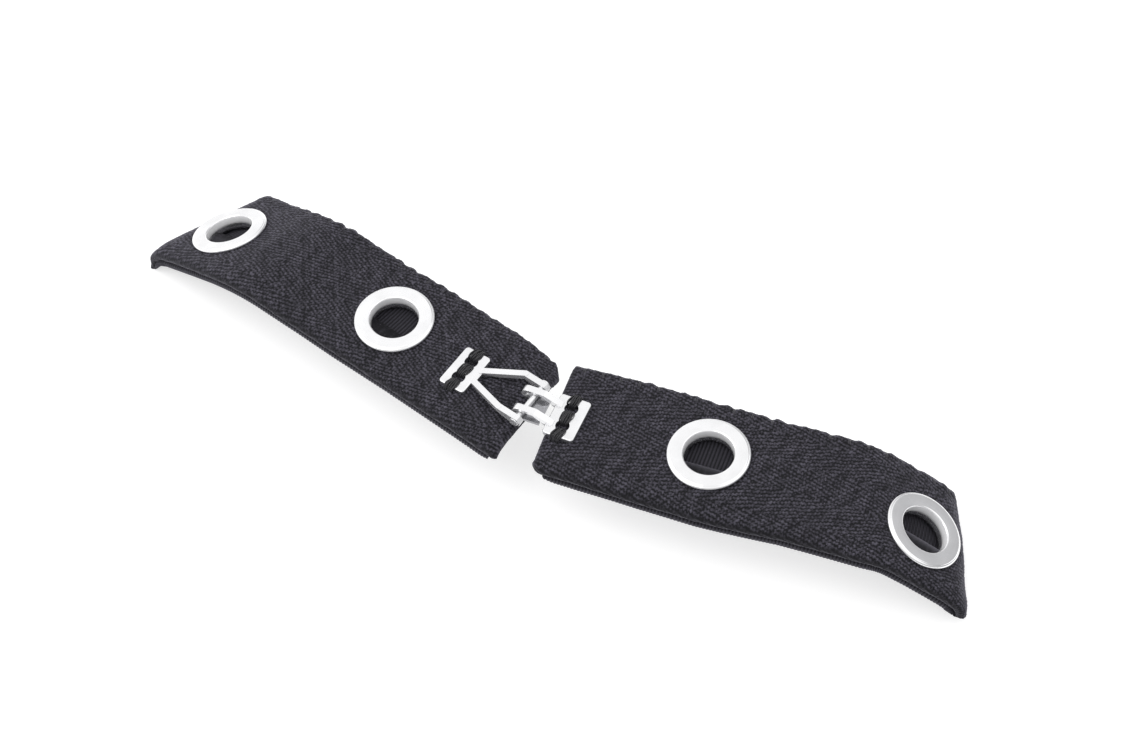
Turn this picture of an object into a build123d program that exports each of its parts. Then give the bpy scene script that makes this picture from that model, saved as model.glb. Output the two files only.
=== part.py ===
"""Two-part wrist band: hemmed twill tape halves with eyelets, joined by a sew-on hook and bar.

Millimetres, Z up. The assembly is drawn with the flat top of the tape at Z = 0 and is then
moved so that it stands on Z = 0, centred on X and Y. X runs along the band.
"""

import math
import os

from build123d import *

# ---------------------------------------------------------------- tape and lining
BAND_WIDTH = 21.8
TAPE_THICK = 1.0            # one layer of twill tape
HEM_TOP = 1.8               # depth of the folded hem below the tape's top face
HEM_BOTTOM = 2.6
LINING_BOTTOM = 3.2
NEAR_HEM = 8.5              # width of the hem folded under the near edge
FAR_HEM = 4.0
LINING_WIDTH = 19.4
STAND_HEIGHT = 14.0         # flat top of the tape above the ground
FLEX_GAP = 0.3              # opening between the inner and outer length of one half

# ---------------------------------------------------------------- eyelets
FLANGE_R = 7.0
BORE_R = 4.1
BARREL_R = 4.5
FLANGE_RISE = 0.85
WASHER_R = 5.4
WASHER_THICK = 0.45
CLINCH_R = 5.1
FIT = 0.03                  # clearance of the barrel in the tape and the washer

# ---------------------------------------------------------------- overcast seam
THREAD = 0.25
LOOP_PITCH = 3.3
LOOP_WIDTH = 1.1
LOOP_REACH = 1.7

# ---------------------------------------------------------------- clasp
BAR_AT = (-1.35, -8.6)      # middle of the crossbar in plan
BAR_Z = 1.30
BAR_R = 0.55
BAR_HOLE_R = 0.60
BAR_HALF = 4.75
EYE_HEADING = -5.0          # degrees, direction of the eye frame from plate to bar
HOOK_HEADING = 6.0
PLATE_THICK = 0.8
PLATE_ACROSS = 8.4
EYE_PLATE_LONG = 5.1
EYE_PLATE_AT = -13.4        # plate centre, measured from the bar
HOOK_PLATE_LONG = 5.6
HOOK_PLATE_AT = 6.8
SEW_HOLE_R = 1.2
SEW_HOLE_PITCH = 3.7
ARM_WIDE = 1.1
ARM_THICK = 0.95
ARM_ROOT = (-11.0, 1.15, 0.48)
ARM_BEND = (-3.5, 3.95, 2.10)
ARM_PITCH = 7.9
ARM_BLADE = ((-3.5, 2.57), (0.6, 2.05), (1.2, 1.45), (0.9, 0.5), (-0.7, 0.5), (-3.4, 1.62))
PRONG_PITCH = 4.0
PRONG_WIDE = 1.2
LEAF_THICK = 0.55
LEAF_ACROSS = 5.8
LEAF_LOW = 0.10             # underside of the return leaf above the tape
BEND_AT = -0.9              # centre of the hook's bend, measured from the bar
RETURN_END = 2.9
RAMP_START = 1.7
RAMP_END = 4.9

# ---------------------------------------------------------------- sewn bundles
STITCH_WIDE = 1.3
STITCH_RISE = 0.5
STITCH_LEG = 0.8
STITCH_DEPTH = 0.6


class Half:
    """Shape of one half: a strip, flat at the clasp and curled down about oblique lines."""

    def __init__(self, side, end, heading, skew, curl_start, oblique, arcs, flat, eyelets, flex):
        self.side = side                # +1 right, -1 left
        self.end = end                  # middle of the clasp end in plan
        self.heading = heading          # degrees, direction of the half in plan
        self.skew = skew                # degrees, slant of the cut at the clasp end
        self.curl_start = curl_start    # distance from the clasp end to the start of the curl
        self.oblique = oblique          # degrees between the curl lines and the cross direction
        (self.r1, self.tilt), (self.r2, self.last) = arcs
        self.flat = flat                # straight length that carries the outer eyelet
        self.eyelets = eyelets          # (along, across) of the inner, (along, across) of the outer
        self.flex = flex                # distance from the clasp end to the flexing line


RIGHT = Half(1, (3.0, -7.75), 9.9, 0.0, 53.1, 20.0, ((9.0, 30.0), (5.0, 90.0)), 11.2,
             ((26.9, 0.0), (64.4, -0.4)), 45.0)
LEFT = Half(-1, (-0.95, -8.7), -10.0, -9.0, 50.9, 19.5, ((31.2, 22.5), (6.0, 82.0)), 11.6,
            ((30.6, -0.4), (70.9, -1.3)), 49.5)


# ---------------------------------------------------------------- strip geometry
def profile_point(half, length, depth):
    """Point of the curl profile at a length past the curl's start and a depth below the top."""
    a1 = math.radians(half.tilt)
    a2 = math.radians(half.last)
    arc1 = half.r1 * a1
    arc2 = half.r2 * (a2 - a1)
    x, z, angle = min(length, 0.0), 0.0, 0.0
    if length > 0:
        angle = min(length, arc1) / half.r1
        x, z = half.r1 * math.sin(angle), -half.r1 * (1 - math.cos(angle))
    if length > arc1:
        run = min(length - arc1, half.flat)
        x, z = x + run * math.cos(a1), z - run * math.sin(a1)
    if length > arc1 + half.flat:
        turn = min(length - arc1 - half.flat, arc2)
        angle = a1 + turn / half.r2
        x += half.r2 * (math.sin(angle) - math.sin(a1))
        z -= half.r2 * (math.cos(a1) - math.cos(angle))
    if length > arc1 + half.flat + arc2:
        run = length - arc1 - half.flat - arc2
        x, z = x + run * math.cos(a2), z - run * math.sin(a2)
    return (x - depth * math.sin(angle), z - depth * math.cos(angle), angle)


def layer(half, top, bottom):
    """Endless slab between two depths, bent to the half's curl; x away from the clasp."""
    a1 = math.radians(half.tilt)
    a2 = math.radians(half.last)
    stops = [-80.0, 0.0, half.r1 * a1, half.r1 * a1 + half.flat]
    stops += [stops[-1] + half.r2 * (a2 - a1)]
    stops += [stops[-1] + 12.0]

    def at(length, depth):
        x, z, _ = profile_point(half, length, depth)
        return (x, z)

    def run(depth):
        edges = []
        for i in range(5):
            start, stop = at(stops[i], depth), at(stops[i + 1], depth)
            if i in (1, 3):
                middle = at((stops[i] + stops[i + 1]) / 2, depth)
                edges.append(ThreePointArc(start, middle, stop))
            else:
                edges.append(Line(start, stop))
        return edges

    outline = run(top) + run(bottom)
    outline.append(Line(at(stops[0], top), at(stops[0], bottom)))
    outline.append(Line(at(stops[-1], top), at(stops[-1], bottom)))
    face = Plane.XZ * make_face(Wire(outline))
    slab = extrude(face, amount=90, both=True)
    return Pos(half.curl_start, 0, 0) * Rot(0, 0, half.oblique) * slab


def block(x0, x1, y0, y1, z0=-40.0, z1=10.0):
    """Box between limits."""
    return Pos((x0 + x1) / 2, (y0 + y1) / 2, (z0 + z1) / 2) * Box(x1 - x0, y1 - y0, z1 - z0)


def strip(half, top, bottom, y0, y1):
    """Layer cut to the band's length: slanted at the clasp end, level at the far end."""
    trimmed = layer(half, top, bottom) & block(-10, 110, y0, y1, -STAND_HEIGHT, 10)
    slant = Rot(0, 0, half.skew) * block(-40, 0, -60, 60)
    return trimmed - slant


def split(half, solid):
    """Inner and outer lengths of a strip, apart by the flexing gap."""
    inner = solid & block(-20, half.flex - FLEX_GAP / 2, -60, 60)
    outer = solid & block(half.flex + FLEX_GAP / 2, 140, -60, 60)
    return inner, outer


def one_solid(shape):
    """The single solid inside a boolean result."""
    return max(shape.solids(), key=lambda item: item.volume)


def place(half, shape):
    """Move a shape from a half's own frame to the assembly."""
    if half.side < 0:
        shape = mirror(shape, about=Plane.YZ)
    return Pos(*half.end, 0) * Rot(0, 0, half.heading) * shape


def seat(half, along, across):
    """Location on the tape's top face in the half's own frame, Z along the face normal."""
    turn = math.radians(half.oblique)
    x = along - half.curl_start
    reach = x * math.cos(turn) + across * math.sin(turn)
    sideways = -x * math.sin(turn) + across * math.cos(turn)
    px, pz, angle = profile_point(half, reach, 0.0)
    origin = Vector(half.curl_start + px * math.cos(turn) - sideways * math.sin(turn),
                    px * math.sin(turn) + sideways * math.cos(turn), pz)
    normal = Vector(math.sin(angle) * math.cos(turn), math.sin(angle) * math.sin(turn),
                    math.cos(angle))
    cross = Vector(-math.sin(turn), math.cos(turn), 0)
    return Plane(origin=origin, x_dir=cross, z_dir=normal)


# ---------------------------------------------------------------- textile pieces
def tape(half):
    """Twill tape: top layer, both edges folded under into hems."""
    w = BAND_WIDTH / 2
    body = strip(half, 0, TAPE_THICK, -w, w)
    body += strip(half, 0, HEM_BOTTOM, -w, -w + TAPE_THICK)
    body += strip(half, 0, HEM_BOTTOM, w - TAPE_THICK, w)
    body += strip(half, HEM_TOP, HEM_BOTTOM, -w, -w + NEAR_HEM)
    body += strip(half, HEM_TOP, HEM_BOTTOM, w - FAR_HEM, w)
    for along, across in half.eyelets:
        hole = Pos(0, 0, -0.6) * Cylinder(BARREL_R + FIT, 1.6)
        body -= seat(half, along, across) * hole
    return body


def lining(half):
    """Ribbed tape sewn flat under both hems."""
    return strip(half, HEM_BOTTOM, LINING_BOTTOM, -LINING_WIDTH / 2, LINING_WIDTH / 2)


def overcast(half):
    """Thread carried along the far edge with loops lying over the tape."""
    w = BAND_WIDTH / 2
    seam = strip(half, -THREAD, HEM_BOTTOM, w, w + THREAD)
    top = strip(half, -THREAD, 0, w - LOOP_REACH, w + THREAD)
    loops = []
    for i in range(28):
        at = 1.2 + i * LOOP_PITCH
        loops.append(block(at, at + LOOP_WIDTH, w - LOOP_REACH, w + THREAD))
    for loop in loops:
        seam += top & loop
    return seam


def eyelet():
    """Flange, barrel and clinched rim, turned about Z; the tape's top face is Z = 0."""
    seat_z = -TAPE_THICK - WASHER_THICK - 0.02
    points = [(BORE_R, seat_z - 0.25), (BORE_R, FLANGE_RISE - 0.35), (BORE_R + 0.35, FLANGE_RISE),
              (FLANGE_R - 0.5, FLANGE_RISE), (FLANGE_R, FLANGE_RISE - 0.45), (FLANGE_R, 0),
              (BARREL_R, 0), (BARREL_R, seat_z), (CLINCH_R, seat_z), (CLINCH_R, seat_z - 0.25)]
    section = make_face(Polyline(*points, close=True))
    return revolve(Plane.XZ * section, Axis.Z)


def washer():
    """Flat ring under the tape, held by the clinched rim."""
    ring = Cylinder(WASHER_R, WASHER_THICK) - Cylinder(BARREL_R + FIT, WASHER_THICK)
    return Pos(0, 0, -TAPE_THICK - 0.01 - WASHER_THICK / 2) * ring


# ---------------------------------------------------------------- clasp pieces
def sewn_plate(long, at):
    """Flat plate with two sewing holes, centred across, lying on the tape."""
    plate = Pos(at, 0, PLATE_THICK / 2) * Box(long, PLATE_ACROSS, PLATE_THICK)
    plate = fillet(plate.edges().filter_by(Axis.Z), 0.6)
    plate = fillet(plate.faces().sort_by(Axis.Z)[-1].edges(), 0.2)
    for side in (-1, 1):
        plate -= Pos(at, side * SEW_HOLE_PITCH / 2, 0.4) * Cylinder(SEW_HOLE_R, 2)
    return plate


def link(start, stop, wide, thick):
    """Straight bar of rectangular section between two points, round at both ends."""
    a, b = Vector(*start), Vector(*stop)
    along = b - a
    middle = (a + b) * 0.5
    cross = Vector(0, 0, 1).cross(along)
    frame = Plane(origin=middle, x_dir=along, z_dir=along.cross(cross))
    return frame * Box(along.length, wide, thick)


def eye_frame():
    """Sewn plate with two arms that spread, rise and carry the crossbar in deep blunt ends."""
    body = sewn_plate(EYE_PLATE_LONG, EYE_PLATE_AT)
    blade = Plane.XZ * make_face(Polyline(*ARM_BLADE, close=True))
    blade = extrude(blade, amount=ARM_WIDE / 2, both=True)
    for side in (-1, 1):
        root = (ARM_ROOT[0], side * ARM_ROOT[1], ARM_ROOT[2])
        bend = (ARM_BEND[0], side * ARM_BEND[1], ARM_BEND[2])
        body += link(root, bend, ARM_WIDE, ARM_THICK)
        body += Pos(*bend) * Cylinder(ARM_WIDE / 2, ARM_THICK)
        body += Pos(0, side * ARM_PITCH / 2, 0) * blade
    body += link((EYE_PLATE_AT + 2, 0, 0.4), (ARM_ROOT[0] + 0.6, 0, 0.4), 3.2, PLATE_THICK)
    body -= Pos(0, 0, BAR_Z) * Rot(90, 0, 0) * Cylinder(BAR_HOLE_R, 20)
    for side in (-1, 1):
        body -= Pos(EYE_PLATE_AT, side * SEW_HOLE_PITCH / 2, 0.4) * Cylinder(SEW_HOLE_R, 2)
    body -= block(-20, 5, -10, 10, -5, 0)
    return body


def crossbar():
    """Round pin through the two arm ends, with a thin head at each end."""
    pin = Rot(90, 0, 0) * Cylinder(BAR_R, 2 * BAR_HALF)
    for side in (-1, 1):
        head = Cylinder(BAR_R + 0.25, 0.2)
        pin += Pos(0, side * (ARM_PITCH / 2 + ARM_WIDE / 2 + 0.15), 0) * Rot(90, 0, 0) * head
    return Pos(0, 0, BAR_Z) * pin


def hook():
    """Sewn plate, two prongs over the bar, bent round into one return leaf below it."""
    low, high = LEAF_LOW + LEAF_THICK, 2 * BAR_Z - LEAF_LOW - LEAF_THICK
    inner_r = BAR_Z - low
    outer_r = inner_r + LEAF_THICK
    outline = [
        Line((BEND_AT, LEAF_LOW), (RETURN_END, LEAF_LOW)),
        Line((RETURN_END, LEAF_LOW), (RETURN_END, low)),
        Line((RETURN_END, low), (BEND_AT, low)),
        ThreePointArc((BEND_AT, low), (BEND_AT - inner_r, BAR_Z), (BEND_AT, high)),
        Line((BEND_AT, high), (RAMP_START, high)),
        Line((RAMP_START, high), (RAMP_END - 0.9, 0.1)),
        Line((RAMP_END - 0.9, 0.1), (RAMP_END + 0.3, 0.1)),
        Line((RAMP_END + 0.3, 0.1), (RAMP_END + 0.3, PLATE_THICK + 0.1)),
        Line((RAMP_END + 0.3, PLATE_THICK + 0.1), (RAMP_START + 0.3, high + LEAF_THICK)),
        Line((RAMP_START + 0.3, high + LEAF_THICK), (BEND_AT, high + LEAF_THICK)),
        ThreePointArc((BEND_AT, high + LEAF_THICK), (BEND_AT - outer_r, BAR_Z),
                      (BEND_AT, LEAF_LOW)),
    ]
    side_view = Plane.XZ * make_face(Wire(outline))
    body = sewn_plate(HOOK_PLATE_LONG, HOOK_PLATE_AT)
    for side in (-1, 1):
        prong = extrude(side_view, amount=PRONG_WIDE / 2, both=True)
        body += Pos(0, side * PRONG_PITCH / 2, 0) * prong
    half_leaf = LEAF_ACROSS / 2
    body += block(BEND_AT + 0.1, RETURN_END, -half_leaf, half_leaf, LEAF_LOW, low)
    return body


def stitches(at):
    """Three sewn bundles over a plate: edge to hole, hole to hole, hole to edge."""
    edge = PLATE_ACROSS / 2 + 0.1
    hole = SEW_HOLE_PITCH / 2
    inset = STITCH_LEG / 2 + 0.1
    spans = [(-edge - STITCH_LEG, -hole - inset + STITCH_LEG / 2), (-hole + 0.1, hole - 0.1),
             (hole + inset - STITCH_LEG / 2, edge + STITCH_LEG)]
    made = []
    for low, high in spans:
        bundle = block(at - STITCH_WIDE / 2, at + STITCH_WIDE / 2, low, high,
                       PLATE_THICK + 0.02, PLATE_THICK + STITCH_RISE)
        bundle = fillet(bundle.faces().sort_by(Axis.Z)[-1].edges(), 0.3)
        for leg in (low, high - STITCH_LEG):
            bundle += block(at - STITCH_WIDE / 2, at + STITCH_WIDE / 2, leg, leg + STITCH_LEG,
                            -STITCH_DEPTH, PLATE_THICK + 0.1)
        made.append(bundle)
    return made


# ---------------------------------------------------------------- assembly
def build():
    """All nodes by name, with the tape's flat top at Z = 0."""
    nodes = {}
    eye_at = Pos(*BAR_AT, 0) * Rot(0, 0, EYE_HEADING)
    hook_at = Pos(*BAR_AT, 0) * Rot(0, 0, HOOK_HEADING)
    bundles = {-1: [eye_at * item for item in stitches(EYE_PLATE_AT)],
               1: [hook_at * item for item in stitches(HOOK_PLATE_AT)]}
    for name, half in (("left", LEFT), ("right", RIGHT)):
        for part, make in (("tape", tape), ("lining", lining), ("seam", overcast)):
            inner, outer = split(half, make(half))
            inner = place(half, inner)
            if part == "tape":
                for bundle in bundles[half.side]:
                    inner -= bundle
            nodes[f"{name}_{part}_inner"] = one_solid(inner)
            nodes[f"{name}_{part}_outer"] = one_solid(place(half, outer))
        for where, (along, across) in zip(("inner", "outer"), half.eyelets):
            spot = seat(half, along, across)
            nodes[f"{name}_eyelet_{where}"] = place(half, spot * eyelet())
            nodes[f"{name}_washer_{where}"] = place(half, spot * washer())
    nodes["eye_frame"] = one_solid(eye_at * eye_frame())
    nodes["crossbar"] = eye_at * crossbar()
    nodes["hook"] = one_solid(hook_at * hook())
    for label, side in (("eye", -1), ("hook", 1)):
        for where, bundle in zip(("near", "middle", "far"), bundles[side]):
            nodes[f"{label}_stitch_{where}"] = bundle
    return nodes


def main():
    os.makedirs("parts", exist_ok=True)
    nodes = build()
    box = Compound(children=[item.solids()[0] for item in nodes.values()]).bounding_box()
    shift = Pos(-(box.min.X + box.max.X) / 2, -(box.min.Y + box.max.Y) / 2, -box.min.Z)
    print("moved by", [round(float(v), 4) for v in shift.position])
    for name, shape in nodes.items():
        export_step(shift * shape, f"parts/{name}.step")


main()
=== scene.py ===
"""Looks of the two-part wrist band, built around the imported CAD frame. Lengths are in mm until
they go into a mesh or a material, which are in metres."""

import math

import bpy
import numpy as np
from mathutils import Matrix, Vector


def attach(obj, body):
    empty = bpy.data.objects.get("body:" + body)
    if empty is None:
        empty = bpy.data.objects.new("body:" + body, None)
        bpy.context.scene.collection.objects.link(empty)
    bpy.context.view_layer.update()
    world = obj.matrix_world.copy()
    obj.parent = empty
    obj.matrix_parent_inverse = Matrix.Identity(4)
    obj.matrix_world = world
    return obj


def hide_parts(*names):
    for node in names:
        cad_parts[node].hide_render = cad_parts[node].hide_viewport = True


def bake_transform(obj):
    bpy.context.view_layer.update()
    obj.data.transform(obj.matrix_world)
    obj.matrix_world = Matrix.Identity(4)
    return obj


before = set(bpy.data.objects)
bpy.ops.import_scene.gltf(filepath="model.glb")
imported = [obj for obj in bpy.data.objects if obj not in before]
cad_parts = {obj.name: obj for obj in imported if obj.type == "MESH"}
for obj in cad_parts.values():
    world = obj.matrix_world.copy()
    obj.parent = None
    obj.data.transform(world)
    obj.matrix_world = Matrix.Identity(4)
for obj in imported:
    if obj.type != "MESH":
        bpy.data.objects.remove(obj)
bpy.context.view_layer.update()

MM = 0.001
STAND = 14.0                                # flat top of the tape above the ground
SHIFT = np.array([3.0076, 2.1723, STAND])   # from the origin that Half uses to the frame's

# Cross-section of the band: distances across its middle line, and depths below its face.
BAND = 22.1                 # width of the face with its two folds
TAPE = 0.85                 # thickness of one layer of twill
HEM_DEPTH = 2.35            # far fold, outside to outside
NEAR_DEPTH = 2.0            # the near fold is flatter
FAR_HEM = 4.0               # width of cloth turned under each edge
NEAR_HEM = 9.8
HEM_STEP = 0.45             # spacing of the mesh across a hem
LINING_TOP = 2.42
LINING_NEAR_TOP = 2.08      # top of the lining under the flatter hem
LINING_BOTTOM = 3.3
LINING_ROUND = 0.38         # radius of the lining's edges

# Ends of the tape: the depth at which the turned-in cloth meets, and how far it bulges out.
CLASP_CLOSE, CLASP_ROUND = 1.3, 1.1
FAR_CLOSE, FAR_ROUND = 3.3, 0.7
NEAR_TIP_CLOSE = 2.5        # at the near corner of the far end, which is sharper
FAR_TUCKS = {-1: 0.3, 1: 1.0}

# Weave: pitch and lean of the yarns, length of one stitch of a yarn, width of a chevron.
RIB_PITCH, RIB_LEAN, YARN_STEP, COLUMN = 0.66, 16.0, 0.62, 5.3
WEAVE_RELIEF, WEAVE_FLOOR = 0.115, -0.05
LINING_RIB = 0.6            # pitch of the lining's ribs

# Overcast edge and unevenness of the cloth.
LOOP_PITCH = 3.3
LOOP_START = 1.6
LOOP_R = 0.10               # radius of the overcast thread
TUG_IN, TUG_DOWN = 0.16, 0.24
SOFT, SOFT_SPAN = 0.13, 17
SWAY = 0.20

# Eyelet, measured from the cloth's face.
HOLE_R, HOLE_FLOOR = 4.45, -1.02
THROAT_R = 4.24             # where the throat turns out into its rolled edge
THROAT_ROLL = 0.3
FACE_RISE = 0.852
RIM_ROLL = 0.39
RIM_R = 6.61                # centre of the rolled rim
EYELET_SIDES = 128


# ------------------------------------------------------------------ strip shape
class Half:
    """The curl and outline of one half.

    side is 1 for the hook half, which runs to +X, and -1 for the bar half. end and heading place
    its clasp end in plan, and skew slants that end. The curl starts at start, oblique to the
    length, and has two arcs, each a radius and the slope that it reaches, with a flat run between.
    eyelets are distances along and across, and flex is the distance to the hinge. For the near (-1)
    and far (1) edge, corners is how far the clasp corner droops, rounds its radius in plan and its
    tuck, and cuts how late the edge starts. trim shortens the near edge at the far end, and tip
    pulls that end down. near and far list the outward wander of each edge along the band.
    """

    def __init__(self, name, side, end, heading, skew, start, oblique, arcs, flat, eyelets, flex,
                 corners, rounds, cuts, trim, tip, near, far):
        self.name, self.side, self.end, self.skew = name, side, end, math.radians(skew)
        self.heading, self.start, self.oblique = math.radians(heading), start, math.radians(oblique)
        (self.r1, tilt), (self.r2, last) = arcs
        self.tilt, self.last = math.radians(tilt), math.radians(last)
        self.flat, self.eyelets, self.flex, self.corners = flat, eyelets, flex, corners
        self.rounds, self.cuts, self.trim, self.tip = rounds, cuts, trim, tip
        self.near, self.far = np.array(near), np.array(far)
        turned = self.r1 * (1 - math.cos(self.tilt)) + flat * math.sin(self.tilt)
        turned += self.r2 * (math.cos(self.tilt) - math.cos(self.last))
        self.bend_end = self.r1 * self.tilt + flat + self.r2 * (self.last - self.tilt)
        self.reach = self.bend_end + (STAND - turned) / math.sin(self.last)

    def profile(self, q):
        """Distance, height and slope of the face at the curl length q."""
        arc1, arc2 = self.r1 * self.tilt, self.r2 * (self.last - self.tilt)
        a = np.clip(q, 0, arc1) / self.r1
        x, z = np.minimum(q, 0) + self.r1 * np.sin(a), -self.r1 * (1 - np.cos(a))
        run = np.clip(q - arc1, 0, self.flat)
        x, z = x + run * math.cos(self.tilt), z - run * math.sin(self.tilt)
        b = self.tilt + np.clip(q - arc1 - self.flat, 0, arc2) / self.r2
        x = x + self.r2 * (np.sin(b) - math.sin(self.tilt))
        z = z - self.r2 * (math.cos(self.tilt) - np.cos(b))
        run = np.maximum(q - self.bend_end, 0)
        x, z = x + run * math.cos(self.last), z - run * math.sin(self.last)
        return x, z, np.where(q < arc1, a, b)

    def place(self, q, t, depth):
        """Frame points from the curl length q, the distance across t and the depth."""
        x, z, angle = self.profile(q)
        x = x - depth * np.sin(angle)
        z = z - depth * np.cos(angle)
        c, s = math.cos(self.oblique), math.sin(self.oblique)
        h = (t - x * s) / c
        local = np.stack([self.side * (self.start + x * c - h * s), t, z], -1)
        return self.to_frame(local)

    def to_frame(self, local):
        """Frame points from points measured at the clasp end along the half's heading."""
        c, s = math.cos(self.heading), math.sin(self.heading)
        out = np.empty_like(local)
        out[..., 0] = local[..., 0] * c - local[..., 1] * s + self.end[0]
        out[..., 1] = local[..., 0] * s + local[..., 1] * c + self.end[1]
        out[..., 2] = local[..., 2]
        return out + SHIFT

    def q_of(self, share, t):
        """Curl length at a share of the band's length, level at the far end."""
        c, s = math.cos(self.oblique), math.sin(self.oblique)
        near, far = self.cuts
        cut = near + (far - near) * (t / BAND + 0.5)
        q0 = (cut - t * math.tan(self.skew) - self.start) * c + t * s
        for side, (radius, _) in self.rounds.items():
            turn = np.clip(side * t - (BAND / 2 - radius), 0, radius)
            q0 = q0 + (radius - np.sqrt(radius ** 2 - turn ** 2)) * c
        last = self.reach - self.trim * np.clip(-2 * t / BAND, 0, 1)
        return q0 + (last - q0) * share

    def swell(self, along, t):
        """Sideways wander of the two edges, which fades towards the middle line."""
        out = np.interp(along, *self.far.T) * np.clip(2 * t / BAND, 0, 1.1) ** 2
        return out - np.interp(along, *self.near.T) * np.clip(-2 * t / BAND, 0, 1.1) ** 2

    def pressed(self, q):
        """How much of its thickness the band keeps towards its far end."""
        return 1 - 0.5 * np.clip(1 - (self.reach - q) / 7.0, 0, 1) ** 1.5

    def along(self, q, t):
        """Distance from the clasp end, measured on the cloth."""
        return self.start + (q - t * math.sin(self.oblique)) / math.cos(self.oblique)

    def q_at(self, along, t):
        """Curl length at a distance from the clasp end."""
        return (along - self.start) * math.cos(self.oblique) + t * math.sin(self.oblique)

    def seat(self, along, across):
        """Matrix in metres of an eyelet's seat, Z along the tape's outward normal."""
        c, s = math.cos(self.oblique), math.sin(self.oblique)
        x = along - self.start
        reach, sideways = x * c + across * s, -x * s + across * c
        px, pz, angle = (float(v) for v in self.profile(np.array(reach)))
        spot = np.array([self.side * (self.start + px * c - sideways * s),
                         px * s + sideways * c, pz])
        normal = np.array([self.side * math.sin(angle) * c, math.sin(angle) * s,
                           math.cos(angle)])
        cross = np.array([-self.side * s, c, 0.0])
        zero = self.to_frame(np.zeros(3))
        z_axis = Vector(self.to_frame(normal) - zero)
        x_axis = Vector(self.to_frame(cross) - zero)
        y_axis = z_axis.cross(x_axis)
        m = Matrix((x_axis, y_axis, z_axis)).transposed().to_4x4()
        m.translation = Vector(self.to_frame(spot) * MM)
        return m


RIGHT = Half(
    name="right", side=1, end=(3.0, -7.75), heading=9.9, skew=0.0, start=53.1, oblique=20.0,
    arcs=((9.0, 30.0), (5.0, 90.0)), flat=11.2, eyelets=((26.9, 0.0), (64.4, -0.4)), flex=45.0,
    corners={-1: 0.25, 1: 0.2}, rounds={-1: (1.0, 1.0), 1: (0.0, 0.5)}, cuts=(0.7, 0.5),
    trim=2.5, tip=0.5,
    near=((0, -0.4), (8, 0.15), (18, 0.55), (28, 0.6), (42, -0.15), (56, -0.1), (66, -0.7),
          (76, -0.9)),
    far=((0, 0.1), (20, 0.0), (50, -0.15), (60, 0.3), (70, 0.95), (76, 0.8)))
LEFT = Half(
    name="left", side=-1, end=(-0.95, -8.7), heading=-10.0, skew=-9.0, start=50.9, oblique=19.5,
    arcs=((31.2, 22.5), (6.0, 82.0)), flat=11.6, eyelets=((30.6, -0.4), (70.9, -1.3)), flex=49.5,
    corners={-1: 0.2, 1: 1.5}, rounds={-1: (0.0, 0.45), 1: (2.4, 1.0)}, cuts=(2.15, 0.4),
    trim=0.0, tip=0.0,
    near=((0, -0.3), (24, -0.3), (36, 0.0), (44, 0.0), (54, 0.15), (64, 0.6), (85, 1.0)),
    far=((0, -1.0), (4, -0.5), (11, 0.0), (26, 0.0), (36, -0.45), (46, -0.45), (58, -0.65),
         (78, -0.45)))
HALVES = (LEFT, RIGHT)


# ------------------------------------------------------------------ mesh helpers
def mesh_object(name, points, faces, uv=None):
    """Mesh object from points, with an optional UV per point. Both are in mm."""
    mesh = bpy.data.meshes.new(name)
    mesh.from_pydata((np.asarray(points) * MM).tolist(), [], faces)
    mesh.polygons.foreach_set("use_smooth", [True] * len(mesh.polygons))
    if uv is not None:
        layer = mesh.uv_layers.new(name="strip")
        index = np.empty(len(mesh.loops), np.int32)
        mesh.loops.foreach_get("vertex_index", index)
        layer.data.foreach_set("uv", np.asarray(uv, np.float32)[index].ravel())
    mesh.validate()
    mesh.update()
    obj = bpy.data.objects.new(name, mesh)
    bpy.context.scene.collection.objects.link(obj)
    return obj


def store(obj, name, values):
    """Keeps one number per point, under a name that a material reads."""
    layer = obj.data.attributes.new(name, "FLOAT", "POINT")
    layer.data.foreach_set("value", values)


def grid_faces(rows, cols, first=0, closed=False, flip=False):
    """Quads of a grid whose vertices run column by column within each row."""
    i = np.arange(rows - 1)[:, None]
    j = np.arange(cols if closed else cols - 1)[None, :]
    k = (j + 1) % cols
    quads = np.stack([i * cols + j, i * cols + k, (i + 1) * cols + k, (i + 1) * cols + j], -1)
    quads = quads.reshape(-1, 4) + first
    return quads[:, ::-1] if flip else quads


def waves(u, v, seed, scale, count=9):
    """Smooth seeded noise, about -1 to 1, from a few crossing waves of roughly that length."""
    rng = np.random.default_rng(seed)
    total = np.zeros(np.broadcast(u, v).shape)
    for _ in range(count):
        turn, phase = rng.uniform(0, math.tau, 2)
        length = scale * rng.uniform(0.7, 1.6)
        total += np.sin(math.tau * (u * math.cos(turn) + v * math.sin(turn)) / length + phase)
    return total / math.sqrt(count)


def tube(points, radius, sides=8):
    """Vertices and faces of a closed tube along points."""
    p = np.asarray(points, float)
    tangent = np.gradient(p, axis=0)
    tangent /= np.linalg.norm(tangent, axis=1)[:, None]
    up = np.array([0.12, 0.31, 0.94])       # in line with no stretch of any thread
    side = np.cross(tangent, up)
    side /= np.linalg.norm(side, axis=1)[:, None]
    other = np.cross(tangent, side)
    turn = np.arange(sides) * math.tau / sides
    ring = side[:, None] * np.cos(turn)[:, None] + other[:, None] * np.sin(turn)[:, None]
    verts = (p[:, None] + radius * ring).reshape(-1, 3)
    faces = grid_faces(len(p), sides, closed=True).tolist()
    faces.append(list(range(sides))[::-1])
    faces.append([(len(p) - 1) * sides + k for k in range(sides)])
    return verts, faces


def joined(name, parts):
    """One object from several vertex and face lists."""
    verts, faces, base = [], [], 0
    for v, f in parts:
        verts.append(v)
        faces += [[k + base for k in face] for face in f]
        base += len(v)
    return mesh_object(name, np.concatenate(verts), faces)


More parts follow.
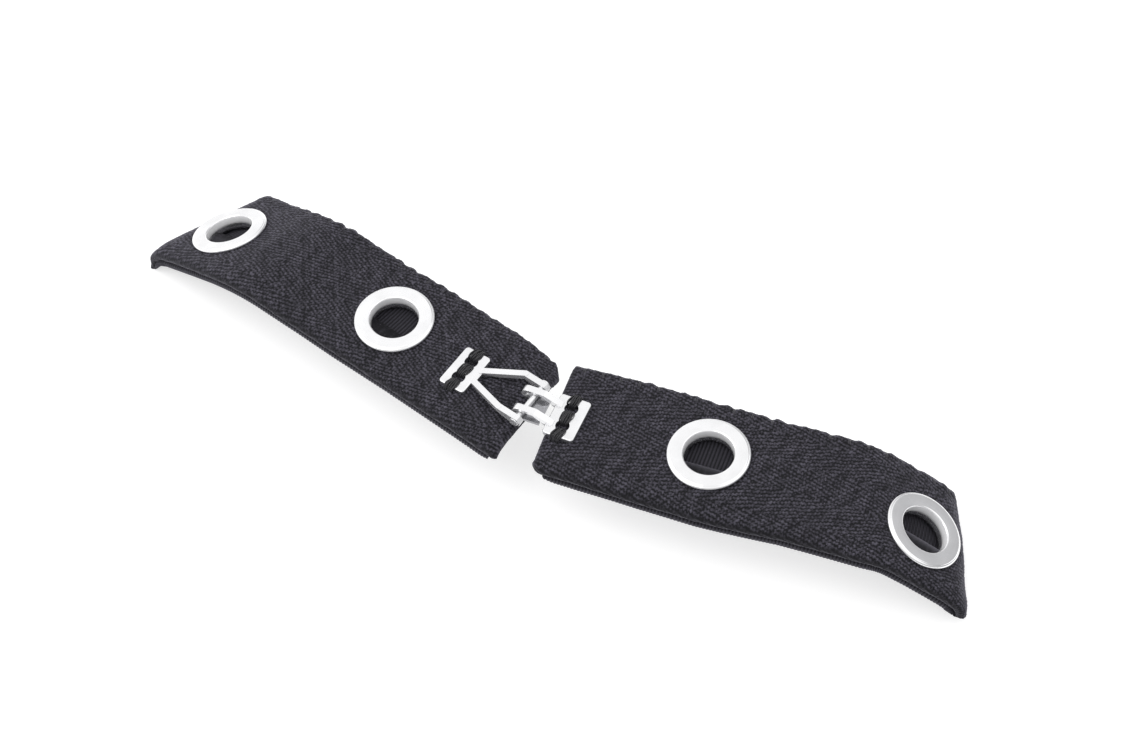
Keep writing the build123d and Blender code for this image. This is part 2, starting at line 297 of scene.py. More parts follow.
# ------------------------------------------------------------------ unevenness of the cloth
def soft_waves(along, t, seed):
    """Slow rise and fall of the cloth."""
    return SOFT * waves(along, t, seed, SOFT_SPAN)


def edge_sway(along, seed):
    """Slow sideways wander, -1 to 1, that the layers of one half share."""
    return waves(along, 0 * along, seed + 2, 24, 5)


def edge_drop(half, along, t):
    """Extra depth where the cloth curls down: clasp corners, near edge and far tip."""
    drop = 0.55 * np.clip((-t - BAND / 2 + 4.2) / 4.0, 0, 1.1) ** 2
    left = half.along(half.reach, t) - along
    drop = drop + half.tip * np.clip((10 - left) / 6, 0, 1) * np.clip(0.6 - t / BAND, 0, 1)
    for side, amount in half.corners.items():
        reach = np.clip(1 - along / 8.5, 0, 1) * np.clip((side * t - 3.5) / 7.0, 0, 1.1)
        drop = drop + amount * reach ** 1.4
    return drop


def pinch(along, t):
    """How strongly the overcast loops pull the far edge in, from 0 to 1."""
    near = np.clip((t - (BAND / 2 - 3.0)) / 3.0, 0, 1)
    shifted = along - LOOP_START + 0.35 * waves(along, 0 * along, 31, 11, 5)
    beat = 0.5 + 0.5 * np.cos(math.tau * shifted / LOOP_PITCH)
    force = np.clip(0.65 + 0.45 * waves(along, 0 * along, 32, 7, 5), 0.1, 1.3)
    return near ** 1.5 * beat ** 1.7 * force * np.clip(along / 30, 0.3, 1)


# ------------------------------------------------------------------ twill tape
def tape_section():
    """The tape's outer path over one cross-section: across, depth and outward normal."""
    w, far, near = BAND / 2, HEM_DEPTH / 2, NEAR_DEPTH / 2
    rows = [(t, HEM_DEPTH, 0.0, 1.0) for t in np.arange(w - FAR_HEM, w - far, HEM_STEP)]
    for a in np.linspace(0, math.pi, 25):
        rows.append((w - far + far * math.sin(a), far + far * math.cos(a),
                     math.sin(a), math.cos(a)))
    rows += [(t, 0.0, 0.0, -1.0) for t in np.linspace(w - far, near - w, 148)[1:-1]]
    for a in np.linspace(math.pi, 0, 23):
        rows.append((near - w - near * math.sin(a), near + near * math.cos(a),
                     -math.sin(a), math.cos(a)))
    rows += [(t, NEAR_DEPTH, 0.0, 1.0)
             for t in np.arange(near - w + HEM_STEP, NEAR_HEM - w, HEM_STEP)]
    return np.array(rows)


def herringbone(u, v):
    """Height from 0 to 1 of a chevron twill: short yarns side by side, with dark dots between."""
    lane = np.abs(((v / COLUMN + 0.5) % 2) - 1) * COLUMN
    lean = math.radians(RIB_LEAN)
    wobble = 0.09 * waves(u, v, 3, 6.0) + 0.10 * waves(u, v, 4, 1.7)
    phase = (u * math.sin(lean) + lane * math.cos(lean)) / RIB_PITCH + wobble
    step = (u * math.cos(lean) - lane * math.sin(lean)) / YARN_STEP + 0.5 * np.floor(phase)
    step = step + 0.17 * waves(u, v, 5, 1.6)
    gap = 0.5 + 0.5 * np.cos(math.tau * phase)
    notch = 0.5 + 0.5 * np.cos(math.tau * step)
    dot = (gap * notch) ** 0.8
    grain = 0.17 * waves(u, v, 6, 0.9) + 0.10 * waves(u, v, 7, 2.6) + 0.13 * waves(u, v, 8, 0.5)
    return np.clip(0.92 - 0.84 * dot - 0.10 * gap - 0.12 * notch + grain, 0, 1.3)


def tape_points(half, q, t, depth, nt, nd, relief, seed):
    """Frame points of the tape's skin with its folds, pinches and soft waves, and how far along
    the band each lies. nt and nd are the skin's normal, across and in depth."""
    along = half.along(q, t)
    w = BAND / 2
    soft = soft_waves(along, t, seed) + 0.05 * waves(along, t, seed + 1, 5)
    seated = np.ones_like(along)
    for a, b in half.eyelets:
        away = np.hypot(along - a, t - b)
        seated = seated * np.clip((away - 6.5) / 4.0, 0, 1)
    sway = SWAY * edge_sway(along, seed) * (t / w) ** 2
    tug = pinch(along, t)
    lump = 0.10 * waves(along, t, seed + 3, 1.9) * np.clip((t - w + 2.5) / 2.5, 0, 1)
    moved = t + sway + nt * (relief + lump) - TUG_IN * tug
    deep = depth * half.pressed(q) + nd * (relief + lump) + soft * seated
    deep = deep + TUG_DOWN * tug * (depth < HEM_DEPTH * 0.6) + edge_drop(half, along, t)
    return half.place(q, moved + half.swell(along, t), deep), along


def closed_end(half, where, q, across, depth):
    """Adds the rows that round off the free end of a length of tape. Returns the curl length,
    distance across and depth of every row, and the slice of the rows that were there before."""
    turns = np.radians([15, 30, 45, 60, 75, 90])[:, None]
    if where == "inner":
        turns, close, bulge = turns[::-1], CLASP_CLOSE, CLASP_ROUND
        tucks = {side: tuck for side, (_, tuck) in half.rounds.items()}
        new, core = slice(0, len(turns)), slice(len(turns), None)
        q = np.concatenate([q[:1] - bulge * np.sin(turns) * math.cos(half.oblique), q])
    else:
        close = np.interp(across, (-BAND / 2, 3.5 - BAND / 2), (NEAR_TIP_CLOSE, FAR_CLOSE))
        bulge, tucks = FAR_ROUND, FAR_TUCKS
        new, core = slice(len(q), None), slice(0, len(q))
        q = np.concatenate([q[:-1], q[-1:] - bulge, q[-1:] + bulge * (np.sin(turns) - 1)])
    depths = np.repeat(depth, len(q), 0)
    depths[new] = close + (depths[new] - close) * np.cos(turns)
    tuck = np.where(across > 0, tucks[1], tucks[-1])
    edge = np.clip((np.abs(across) - BAND / 2 + 2) / 2, 0, 1)
    wide = across + 0 * q
    wide[new] -= np.sign(across) * tuck * bulge * (1 - np.cos(turns)) * edge
    return q, wide, depths, core


def clear_of_eyelets(half, spots):
    """Which points lie outside the holes for the eyelets' barrels."""
    keep = np.ones(len(spots), bool)
    for along, across in half.eyelets:
        seat = half.seat(along, across)
        axis = np.array(seat.col[2][:3])
        away = spots - np.array(seat.translation) / MM
        rise = away @ axis
        radial = np.linalg.norm(away - rise[:, None] * axis, axis=1)
        keep &= ~((radial < HOLE_R) & (rise > HOLE_FLOOR))
    return keep


def make_tape(half, where, seed):
    """Twill tape of a length of one half: outer and inner skins, hems and eyelet holes."""
    total = float(half.along(half.reach, 0.0))
    first, last = (0.0, half.flex / total) if where == "inner" else (half.flex / total, 1.0)
    rows = int(total * (last - first) / 0.14)
    path = tape_section()
    arc = np.concatenate([[0], np.cumsum(np.hypot(*np.diff(path[:, :2], axis=0).T))])
    lane = arc - arc[np.argmin(np.abs(path[:, 0]) + path[:, 1])]
    across, depth = path[None, :, 0], path[None, :, 1]
    q = half.q_of(np.linspace(first, last, rows)[:, None], across)
    q, wide, depths, core = closed_end(half, where, q, across, depth)
    height = herringbone(half.along(q, across), lane[None, :])
    skin, along = tape_points(half, q, wide, depths, path[None, :, 2], path[None, :, 3],
                              WEAVE_RELIEF * height + WEAVE_FLOOR, seed)

    # The inner skin is coarser and has no closed end.
    pick = np.unique(np.concatenate([np.arange(0, len(path), 6), [len(path) - 1]]))
    across_in, depth_in, nt, nd = (column[None, pick] for column in path.T)
    q_in = q[core][:, pick]
    lower, along_in = tape_points(half, q_in, across_in + 0 * q_in, depth_in + 0 * q_in, nt, nd,
                                  -TAPE + 0 * q_in, seed)
    points = np.concatenate([skin.reshape(-1, 3), lower.reshape(-1, 3)])
    uv = np.stack([along, lane[None, :] + 0 * along], -1).reshape(-1, 2)
    uv_in = np.stack([along_in, lane[pick][None, :] + 0 * along_in], -1).reshape(-1, 2)

    cols, cols_in = len(path), len(pick)
    base = len(q) * cols
    quads = np.concatenate([grid_faces(len(q), cols, flip=half.side > 0),
                            grid_faces(len(q_in), cols_in, base, flip=half.side < 0)])
    faces = quads[clear_of_eyelets(half, points[quads].mean(1))].tolist()
    i = np.arange(len(q_in) - 1)
    for edge, edge_in in ((0, 0), (cols - 1, cols_in - 1)):
        a, b = (i + core.start) * cols + edge, (i + 1 + core.start) * cols + edge
        c, d = base + (i + 1) * cols_in + edge_in, base + i * cols_in + edge_in
        faces += np.stack([a, b, c, d], -1).tolist()

    obj = mesh_object(f"{half.name}_tape_{where}_woven", points, faces,
                      np.concatenate([uv, uv_in]))
    # Painted shade: the near fold's colour darkens with its depth, standing in for the shade it
    # lies in.
    fold = np.where(across < 0, np.clip((depth - 0.10) / 0.5, 0, 1), 0)
    shade_painted_height = height * (1 - 0.58 * fold)      # the near fold lies in its own shade
    hem = 0.34 + 0.12 * waves(*uv_in.T, seed, 0.9)
    store(obj, "yarn", np.concatenate([shade_painted_height.ravel(), hem]))
    return obj


# ------------------------------------------------------------------ ribbed lining
def lining_section():
    """The lining's path over one cross-section: across, depth and outward normal."""
    low, high, r = 0.1 - BAND / 2, BAND / 2 - 0.9, LINING_ROUND
    corners = ((high, LINING_TOP, -90), (high, LINING_BOTTOM, 0), (low, LINING_BOTTOM, 90),
               (low, LINING_NEAR_TOP, 180))
    path = []
    for t, d, turn in corners:
        centre = (t - math.copysign(r, t), d + (r if turn in (-90, 180) else -r))
        for a in np.radians(np.linspace(turn, turn + 90, 5)):
            path.append((centre[0] + r * math.cos(a), centre[1] + r * math.sin(a),
                         math.cos(a), math.sin(a)))
        for share in np.linspace(0.05, 0.95, 17) if turn in (0, 180) else ():
            if turn == 0:
                path.append((high + share * (low - high), LINING_BOTTOM, 0.0, 1.0))
            else:
                hem = LINING_NEAR_TOP if share < 0.42 else LINING_TOP
                path.append((low + share * (high - low), hem, 0.0, -1.0))
    return np.array(path)


def make_lining(half, seed):
    """Ribbed lining under the hems, its near edge showing below the fold."""
    rows = int(half.along(half.reach, 0.0) / 0.1)
    path = lining_section()
    t0, d0, nt, nd = (column[None, :] for column in path.T)
    span = 0.977 + 0.008 * np.clip(-2 * t0 / BAND, 0, 1)
    q = half.q_of(0.007 + span * np.linspace(0, 1, rows)[:, None], t0)
    along = half.along(q, t0)
    ribs = np.cos(math.pi * along / LINING_RIB + 0.4 * waves(along, t0, seed, 9))
    height = np.abs(ribs) ** 0.8
    rib = 0.13 * height - 0.07
    sway = 0.16 * edge_sway(along, seed) * (2 * t0 / BAND) ** 2
    t = t0 + nt * rib + sway + half.swell(along, t0)

    # Both ends thin out below, and between the hems they rise to meet the closed tape.
    inset = np.minimum((along - along[:1]) / 2.2, (along[-1:] - along) / 3.5)
    taper = 1 - 0.7 * np.clip(1 - inset, 0, 1) ** 2
    d = np.minimum(d0, LINING_TOP) + np.maximum(d0 - LINING_TOP, 0) * taper
    between = np.clip(BAND / 2 - FAR_HEM - t0, 0, 1) * np.clip(t0 + BAND / 2 - NEAR_HEM, 0, 1)
    d = d - 1.6 * np.clip(1 - 1.5 * inset, 0, 1) * between * (nd < -0.5)
    d = d * half.pressed(q) + nd * rib + edge_drop(half, along, t0)
    d = d + 0.05 * waves(along, t, seed + 5, 19) * (nd < 0.2)

    cols = len(path)
    uv = np.stack([along, t0 + 0 * along], -1).reshape(-1, 2)
    faces = grid_faces(rows, cols, closed=True, flip=half.side < 0).tolist()
    faces.append(list(range(cols)))
    faces.append([(rows - 1) * cols + k for k in range(cols)][::-1])
    obj = mesh_object(f"{half.name}_lining", half.place(q, t, d).reshape(-1, 3), faces, uv)
    store(obj, "yarn", height.ravel())
    return obj


# ------------------------------------------------------------------ thread
def overcast_loop(at, lean, reach):
    """One strand over the far edge: distance along, distance across and depth of its points."""
    w, r = BAND / 2, HEM_DEPTH / 2
    path = []
    for s in np.linspace(0, 1, 15):
        a = math.pi * np.clip((s - 0.3) / 0.45, 0, 1)
        inward = reach * max(0.0, 0.3 - s) / 0.3 + 1.1 * max(0.0, s - 0.75) / 0.25
        t = w - r - inward + (r - 0.16) * math.sin(a)
        d = r - r * math.cos(a) - 0.02 * math.cos(a)
        if s < 0.1:
            d += 0.35 * (0.1 - s) / 0.1     # the strand dives into the cloth
        path.append((at + lean * (0.5 - s), t, d + 0.06 * math.sin(a)))
    return np.array(path).T


def make_seam(half, seed):
    """Overcast thread: a slanted loop of two strands at each pinch of the far edge."""
    rng = np.random.default_rng(seed)
    parts = []
    last = half.along(half.reach, BAND / 2) - 1.5
    rounded = max(0.0, half.rounds[1][0] - 1.0)
    at = LOOP_START + LOOP_PITCH * math.ceil(rounded / LOOP_PITCH)
    while at < last:
        lean = 0.6 + rng.uniform(-0.3, 0.3)
        reach = 0.5 + rng.uniform(-0.2, 0.2)
        for strand in (-0.13, 0.13):
            along, t, d = overcast_loop(at + strand, lean, reach)
            q = half.q_at(along, t)
            keep = q < half.reach - 0.4
            if keep.sum() > 5:
                tug = pinch(along, t)
                depth = d * half.pressed(q) + TUG_DOWN * tug * (d < HEM_DEPTH * 0.6)
                depth = depth + 0.9 * soft_waves(along, t, seed) + edge_drop(half, along, t)
                shift = half.swell(along, t) + SWAY * edge_sway(along, seed) - TUG_IN * tug
                parts.append(tube(half.place(q, t + shift, depth)[keep], LOOP_R))
        at += LOOP_PITCH
    return joined(f"{half.name}_seam", parts)


def sewn_bundle(name, node, heading):
    """Strands of thread that cross a plate and dive down at both ends, where the CAD node is."""
    co = np.array([v.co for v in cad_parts[node].data.vertices]) / MM
    centre = co.mean(0)
    lengthwise = np.array([math.cos(heading), math.sin(heading)])
    across = np.array([-lengthwise[1], lengthwise[0]])
    spread = (co[:, :2] - centre[:2]) @ across
    low, high = spread.min() + 0.2, spread.max() - 0.2
    rng = np.random.default_rng(int(abs(centre[1]) * 10) + len(name))
    parts = []
    slant = rng.uniform(0.2, 0.7)
    for strand in range(15):
        layer, spot = divmod(strand, 8)
        off = (spot - 3.5 + 0.5 * layer) * 0.25
        sway = rng.uniform(-0.17, 0.17, 3)
        path = []
        for f in np.linspace(0, 1, 23):
            arch = 1 - abs(2 * f - 1) ** 4.5
            gather = 0.62 + 0.38 * math.sin(math.pi * f) ** 0.6
            side = off * gather + sway[0] + sway[1] * math.sin(math.tau * f) + slant * (f - 0.5)
            lift = (0.22 * layer + 0.10 - 0.09 * off ** 2) * gather + 0.4 * abs(sway[2])
            xy = centre[:2] + across * (low + (high - low) * f) + lengthwise * side
            path.append((xy[0], xy[1], SHIFT[2] - 0.15 + (0.98 + lift) * arch))
        parts.append(tube(path, rng.uniform(0.10, 0.15)))
    return joined(name, parts)


# ------------------------------------------------------------------ eyelets
def eyelet_profile():
    """Radius and height round the eyelet's section: throat, face, rolled rim and barrel."""
    profile = [(4.10, -1.75), (4.11, -1.3), (4.12, -0.8), (4.14, -0.3), (4.18, 0.2)]
    for a in np.radians(np.linspace(8, 90, 9)):
        profile.append((THROAT_R + THROAT_ROLL * (1 - math.cos(a)),
                        FACE_RISE - THROAT_ROLL * (1 - math.sin(a))))
    profile += [(5.4, FACE_RISE), (5.9, 0.85), (6.4, 0.845), (6.56, 0.835), (6.60, 0.76)]
    for a in np.radians(np.linspace(82, -8, 9)):
        profile.append((RIM_R + RIM_ROLL * math.cos(a), 0.36 + RIM_ROLL * math.sin(a)))
    profile += [(6.97, 0.03), (6.4, 0.0), (4.5, 0.0), (4.5, -1.5), (4.9, -1.62), (4.6, -1.75)]
    return np.array(profile)


def make_eyelet(name, matrix):
    """Turned eyelet: flat face with rolled rims, side wall and barrel."""
    p = eyelet_profile()
    turn = np.arange(EYELET_SIDES) * math.tau / EYELET_SIDES
    ring = np.stack([p[None, :, 0] * np.cos(turn)[:, None], p[None, :, 0] * np.sin(turn)[:, None],
                     p[None, :, 1] + 0 * turn[:, None]], -1)
    n = len(p)
    faces = []
    for i in range(EYELET_SIDES):
        k = (i + 1) % EYELET_SIDES
        for j in range(n):
            m = (j + 1) % n
            faces.append([i * n + j, i * n + m, k * n + m, k * n + j])
    obj = mesh_object(name, ring.reshape(-1, 3), faces)
    dull = np.where(p[:, 0] < THROAT_R + 0.06, np.clip((p[:, 1] + 0.8) / 0.6, 0, 1), 0)
    store(obj, "dull", np.tile(dull, EYELET_SIDES))
    obj.data.transform(matrix)
    return obj


# ------------------------------------------------------------------ material helpers
def new_material(name):
    """A material with its node tree and its principled shader."""
    mat = bpy.data.materials.new(name)
    mat.use_nodes = True
    return mat, mat.node_tree, mat.node_tree.nodes["Principled BSDF"]


def link(tree, a, out, b, into):
    """Joins the output of one shader node to the input of another."""
    tree.links.new(a.outputs[out], b.inputs[into])


def ramp(tree, stops):
    """Colour ramp with a colour at each position."""
    made = tree.nodes.new("ShaderNodeValToRGB")
    elements = made.color_ramp.elements
    elements[0].position, elements[0].color = stops[0][0], (*stops[0][1], 1)
    elements[1].position, elements[1].color = stops[-1][0], (*stops[-1][1], 1)
    for position, colour in stops[1:-1]:
        element = elements.new(position)
        element.color = (*colour, 1)
    return made


def noise(tree, where, space, scale, detail, roughness=0.5):
    """Noise in one kind of coordinates."""
    made = tree.nodes.new("ShaderNodeTexNoise")
    made.inputs["Scale"].default_value = scale
    made.inputs["Detail"].default_value = detail
    made.inputs["Roughness"].default_value = roughness
    link(tree, where, space, made, "Vector")
    return made


def spread_over(tree, source, low, high, shader, socket):
    """Drives a shader's socket from low to high by a value from 0 to 1."""
    made = tree.nodes.new("ShaderNodeMapRange")
    made.inputs["To Min"].default_value = low
    made.inputs["To Max"].default_value = high
    link(tree, source, "Fac", made, "Value")
    link(tree, made, "Result", shader, socket)


def bump(tree, source, strength, distance, shader):
    """Fine relief from a noise, its distance in metres."""
    made = tree.nodes.new("ShaderNodeBump")
    made.inputs["Strength"].default_value = strength
    made.inputs["Distance"].default_value = distance
    link(tree, source, "Fac", made, "Height")
    link(tree, made, "Normal", shader, "Normal")


def times(tree, source, factor):
    """A value times a factor, plus what the third input holds."""
    made = tree.nodes.new("ShaderNodeMath")
    made.operation = "MULTIPLY_ADD"
    made.inputs[1].default_value = factor
    link(tree, source, "Fac", made, 0)
    return made


def colour_mix(tree, blend="MIX"):
    """Mix node for two colours."""
    made = tree.nodes.new("ShaderNodeMix")
    made.data_type = "RGBA"
    made.blend_type = blend
    return made


def attribute(tree, name):
    """The numbers that a mesh stores under a name."""
    made = tree.nodes.new("ShaderNodeAttribute")
    made.attribute_name = name
    return made


# ------------------------------------------------------------------ materials
def cloth_material(name, dark, light, fleck, scale):
    """Matt woven cloth: yarn noise in strip coordinates, lint flecks and soft sheen."""
    mat, tree, bsdf = new_material(name)
    where = tree.nodes.new("ShaderNodeTexCoord")
    yarn = noise(tree, where, "UV", scale, 4, 0.65)
    patch = noise(tree, where, "UV", 0.16, 3)
    middle = [0.55 * a + 0.45 * b for a, b in zip(dark, light)]
    tone = ramp(tree, [(0.24, dark), (0.62, middle), (1.0, light)])
    uneven = times(tree, yarn, 1.3)
    uneven.inputs[2].default_value = -0.72
    # The yarn numbers hold the weave's height, and on the tape's near fold also its painted shade.
    level = times(tree, attribute(tree, "yarn"), 0.90)
    link(tree, uneven, 0, level, 2)
    link(tree, level, 0, tone, "Fac")

    lint = tree.nodes.new("ShaderNodeTexVoronoi")
    lint.inputs["Scale"].default_value = 0.9
    lint.inputs["Randomness"].default_value = 1.0
    link(tree, where, "UV", lint, "Vector")
    speck = ramp(tree, [(0.0, (1, 1, 1)), (0.055, (0.25, 0.25, 0.25)), (0.085, (0, 0, 0))])
    link(tree, lint, "Distance", speck, "Fac")
    flecked = colour_mix(tree)
    link(tree, speck, "Color", flecked, "Factor")
    link(tree, tone, "Color", flecked, "A")
    flecked.inputs["B"].default_value = (*fleck, 1)

    cloud = ramp(tree, [(0.3, (0.82, 0.82, 0.84)), (0.7, (1.15, 1.14, 1.17))])
    link(tree, patch, "Fac", cloud, "Fac")
    shade = colour_mix(tree, "MULTIPLY")
    shade.inputs["Factor"].default_value = 1.0
    link(tree, flecked, "Result", shade, "A")
    link(tree, cloud, "Color", shade, "B")
    link(tree, shade, "Result", bsdf, "Base Color")

    spread_over(tree, yarn, 0.78, 0.96, bsdf, "Roughness")
    bump(tree, yarn, 0.5, 0.00006, bsdf)
    bsdf.inputs["Specular IOR Level"].default_value = 0.25
    bsdf.inputs["Sheen Weight"].default_value = 0.35
    bsdf.inputs["Sheen Roughness"].default_value = 0.45
    bsdf.inputs["Sheen Tint"].default_value = (0.72, 0.70, 0.82, 1)
    return mat


def thread_material(name, colour):
    """Twisted thread: fine grain and a faint gloss."""
    mat, tree, bsdf = new_material(name)
    where = tree.nodes.new("ShaderNodeTexCoord")
    grain = noise(tree, where, "Object", 5200, 2)
    tone = ramp(tree, [(0.3, [0.6 * c for c in colour]), (0.7, [1.8 * c for c in colour])])
    link(tree, grain, "Fac", tone, "Fac")
    link(tree, tone, "Color", bsdf, "Base Color")
    bump(tree, grain, 0.4, 0.00004, bsdf)
    bsdf.inputs["Roughness"].default_value = 0.38
    bsdf.inputs["Sheen Weight"].default_value = 0.12
    return mat


def painted_shade_below(tree, where, tone, below):
    """Painted shade: darkens a tone under a height in metres, where metal lies low by the cloth."""
    split = tree.nodes.new("ShaderNodeSeparateXYZ")
    link(tree, where, "Object", split, "Vector")
    bright = tree.nodes.new("ShaderNodeMapRange")
    bright.inputs["From Min"].default_value = below
    bright.inputs["From Max"].default_value = below + 0.0001
    bright.inputs["To Min"].default_value = 0.25
    link(tree, split, "Z", bright, "Value")
    # The painted shade's dark colour, mixed in below the height.
    made = colour_mix(tree)
    made.inputs["A"].default_value = (0.17, 0.17, 0.19, 1)
    link(tree, bright, "Result", made, "Factor")
    link(tree, tone, "Color", made, "B")
    return made


def metal_material(name, tint, low, high, dents, metallic, shade_below=None):
    """Bright plated metal with faint cast unevenness, and wear in its roughness from low to high.
    It is dull where a mesh says so, and has painted shade below a height if one is given."""
    mat, tree, bsdf = new_material(name)
    where = tree.nodes.new("ShaderNodeTexCoord")
    soft = noise(tree, where, "Object", 260, 3)
    fine = noise(tree, where, "Object", 2600, 2)
    tone = ramp(tree, [(0.35, [0.93 * c for c in tint]), (0.65, tint)])
    link(tree, soft, "Fac", tone, "Fac")
    if shade_below is None:
        link(tree, tone, "Color", bsdf, "Base Color")
    else:
        link(tree, painted_shade_below(tree, where, tone, shade_below), "Result", bsdf, "Base Color")
    spread_over(tree, fine, low, high, bsdf, "Roughness")
    spread_over(tree, attribute(tree, "dull"), metallic, 0.15, bsdf, "Metallic")
    bump(tree, soft, 0.25, dents, bsdf)
    return mat


TWILL = cloth_material("twill", (0.002, 0.002, 0.003), (0.074, 0.070, 0.088),
                       (0.22, 0.21, 0.25), 5.0)
RIBBED = cloth_material("ribbed", (0.002, 0.002, 0.003), (0.042, 0.040, 0.050),
                        (0.10, 0.095, 0.12), 6.0)
THREAD = thread_material("thread", (0.0065, 0.0060, 0.0085))
SEAM = thread_material("seam_thread", (0.024, 0.022, 0.029))
NICKEL = metal_material("nickel", (0.90, 0.90, 0.91), 0.08, 0.15, 0.00002, 0.95)
# The cast metal gets painted shade below this height, where it lies low by the cloth.
CAST = metal_material("cast_nickel", (0.84, 0.84, 0.85), 0.13, 0.24, 0.00012, 0.72,
                      shade_below=(SHIFT[2] + 0.67) * MM)


# ------------------------------------------------------------------ build
def dress(obj, material):
    """Gives a piece its only material."""
    obj.data.materials.clear()
    obj.data.materials.append(material)
    return obj


def flex_points(half):
    """Start and end of the bending zone, in metres, along the half."""
    near = half.to_frame(np.array([half.side * (half.flex - 6.5), 0, 0])) * MM
    far = half.to_frame(np.array([half.side * (half.flex + 6.5), 0, 0])) * MM
    return tuple(near), tuple(far)


def build_cloth(half, seed):
    """Tapes, lining and seam of one half, the tape made in two lengths that meet at its hinge."""
    start, end = flex_points(half)
    for where in ("inner", "outer"):
        piece = dress(make_tape(half, where, seed), TWILL)
        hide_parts(f"{half.name}_tape_{where}")
        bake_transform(piece)
    for part, make, material, slot in (("lining", make_lining, RIBBED, "ribbed_lining"),
                                       ("seam", make_seam, SEAM, "thread")):
        piece = dress(make(half, seed), material)
        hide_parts(f"{half.name}_{part}_inner", f"{half.name}_{part}_outer")
        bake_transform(piece)


def build_eyelets(half):
    """Turned eyelets of one half, and the washers under them."""
    for where, (along, across) in zip(("inner", "outer"), half.eyelets):
        ring = make_eyelet(f"{half.name}_eyelet_{where}_turned", half.seat(along, across))
        dress(ring, NICKEL)
        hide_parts(f"{half.name}_eyelet_{where}")
        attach(ring, f"{half.name}_{where}")
        dress(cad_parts[f"{half.name}_washer_{where}"], NICKEL)


def build_stitches(label, heading, body):
    """The three thread bundles that hold one plate of the clasp."""
    for where in ("near", "middle", "far"):
        bundle = sewn_bundle(f"{label}_thread_{where}", f"{label}_stitch_{where}",
                             math.radians(heading))
        dress(bundle, THREAD)
        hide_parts(f"{label}_stitch_{where}")
        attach(bundle, body)


def soften(name, width):
    """Cast look of one CAD piece of the clasp: its own shape with small bevels."""
    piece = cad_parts[name]
    dress(piece, CAST)
    weld = piece.modifiers.new("weld", "WELD")
    weld.merge_threshold = 0.000002
    round_off = piece.modifiers.new("round", "BEVEL")
    round_off.width = width
    round_off.segments = 3
    round_off.limit_method = "ANGLE"
    round_off.angle_limit = math.radians(35)
    round_off.harden_normals = True


for number, half in enumerate(HALVES):
    build_cloth(half, 40 + 10 * number)
    build_eyelets(half)
build_stitches("eye", -5.0, "left_inner")
build_stitches("hook", 6.0, "right_inner")
for name, width in (("eye_frame", 0.00012), ("hook", 0.00012), ("crossbar", 0.00006)):
    soften(name, width)


# ------------------------------------------------------------------ stage
def floor():
    """Plain pale ground with a faint glow of its own."""
    size = 3.0
    mesh = bpy.data.meshes.new("floor")
    mesh.from_pydata([(-size, -size, 0), (size, -size, 0), (size, size, 0), (-size, size, 0)], [],
                     [(0, 1, 2, 3)])
    obj = bpy.data.objects.new("floor", mesh)
    bpy.context.scene.collection.objects.link(obj)
    mat, _, bsdf = new_material("paper")
    bsdf.inputs["Base Color"].default_value = (0.58, 0.58, 0.58, 1)
    bsdf.inputs["Roughness"].default_value = 0.9
    bsdf.inputs["Specular IOR Level"].default_value = 0.1
    bsdf.inputs["Emission Color"].default_value = (1, 1, 1, 1)
    bsdf.inputs["Emission Strength"].default_value = 0.60
    mesh.materials.append(mat)


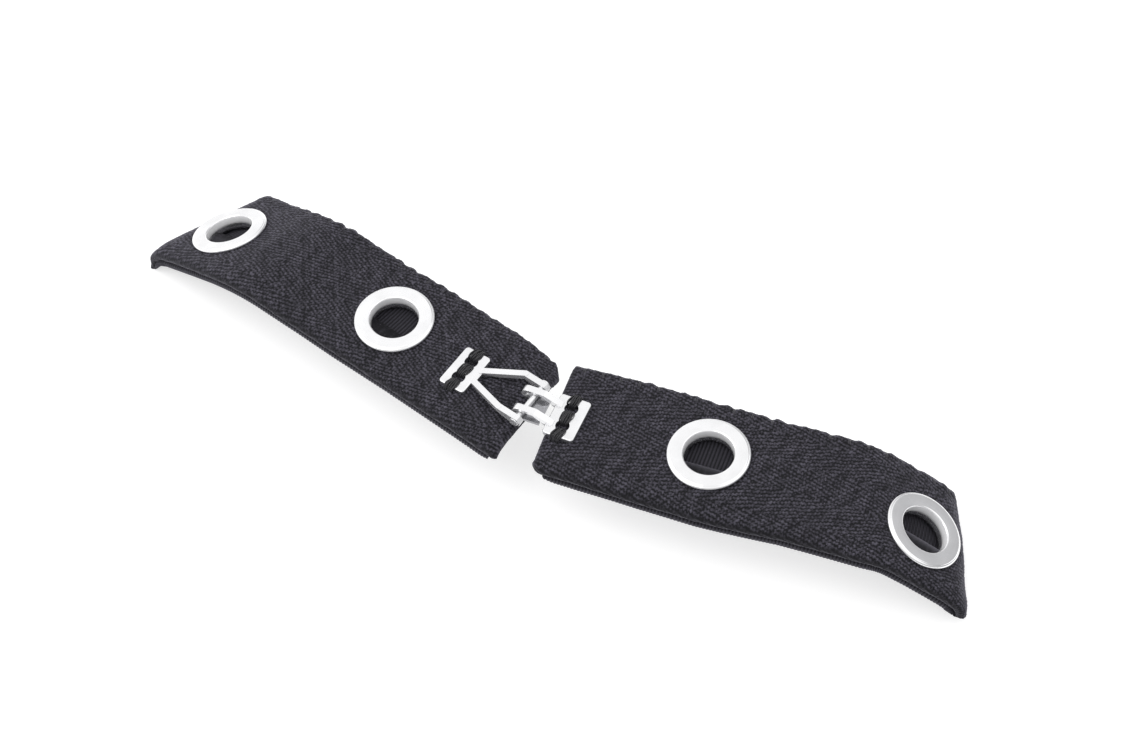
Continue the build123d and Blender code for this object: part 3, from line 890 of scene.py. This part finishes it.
def tent():
    """White tent that greys towards the horizon, most of all on the hook half's side."""
    world = bpy.data.worlds.new("studio")
    bpy.context.scene.world = world
    world.use_nodes = True
    tree = world.node_tree
    where = tree.nodes.new("ShaderNodeTexCoord")
    split = tree.nodes.new("ShaderNodeSeparateXYZ")
    link(tree, where, "Generated", split, "Vector")
    height = ramp(tree, [(0.0, (0.40, 0.40, 0.41)), (0.25, (0.50, 0.50, 0.51)),
                         (0.50, (0.68, 0.68, 0.69)), (0.68, (1.0, 1.0, 1.0)),
                         (1.0, (1.05, 1.05, 1.05))])
    link(tree, split, "Z", height, "Fac")
    sideways = tree.nodes.new("ShaderNodeMapRange")
    sideways.inputs["From Min"].default_value = -1
    sideways.inputs["From Max"].default_value = 1
    link(tree, split, "X", sideways, "Value")
    white = ramp(tree, [(0.0, (1.0, 1.0, 1.0)), (0.30, (0.9, 0.9, 0.9)), (0.46, (0.0, 0.0, 0.0))])
    link(tree, sideways, "Result", white, "Fac")
    both = colour_mix(tree)
    link(tree, white, "Color", both, "Factor")
    link(tree, height, "Color", both, "A")
    both.inputs["B"].default_value = (1.12, 1.12, 1.12, 1)
    back = tree.nodes["Background"]
    link(tree, both, "Result", back, "Color")
    back.inputs["Strength"].default_value = 1.0


def lamps():
    """Two soft area lamps aimed at the band."""
    for name, spot, size, power in (("key", (-0.35, -0.15, 0.75), 0.7, 2.2),
                                    ("fill", (0.45, 0.35, 0.8), 0.9, 0.8)):
        lamp = bpy.data.lights.new(name, "AREA")
        lamp.size = size
        lamp.energy = power
        obj = bpy.data.objects.new(name, lamp)
        obj.location = spot
        obj.rotation_euler = (-Vector(spot)).to_track_quat("-Z", "Y").to_euler()
        bpy.context.scene.collection.objects.link(obj)


def camera():
    """Camera at the photograph's viewing angle."""
    azimuth, elevation, roll = math.radians(33.65), math.radians(54.26), math.radians(4.7)
    distance, focal = 0.416, 78.95
    right = Vector((math.cos(azimuth), math.sin(azimuth), 0))
    away = Vector((-math.sin(azimuth), math.cos(azimuth), 0))
    back = -away * math.cos(elevation) + Vector((0, 0, math.sin(elevation)))
    up = away * math.sin(elevation) + Vector((0, 0, math.cos(elevation)))
    x_axis = right * math.cos(roll) - up * math.sin(roll)
    y_axis = right * math.sin(roll) + up * math.cos(roll)
    data = bpy.data.cameras.new("camera")
    data.lens = focal
    data.sensor_width = 36.0
    data.clip_start = 0.01
    obj = bpy.data.objects.new("camera", data)
    m = Matrix((x_axis, y_axis, back)).transposed().to_4x4()
    m.translation = Vector(SHIFT * MM) + back * distance
    obj.matrix_world = m
    bpy.context.scene.collection.objects.link(obj)
    bpy.context.scene.camera = obj


floor()
tent()
lamps()
camera()
bpy.context.scene.view_settings.view_transform = "Standard"
bpy.context.scene.view_settings.look = "None"
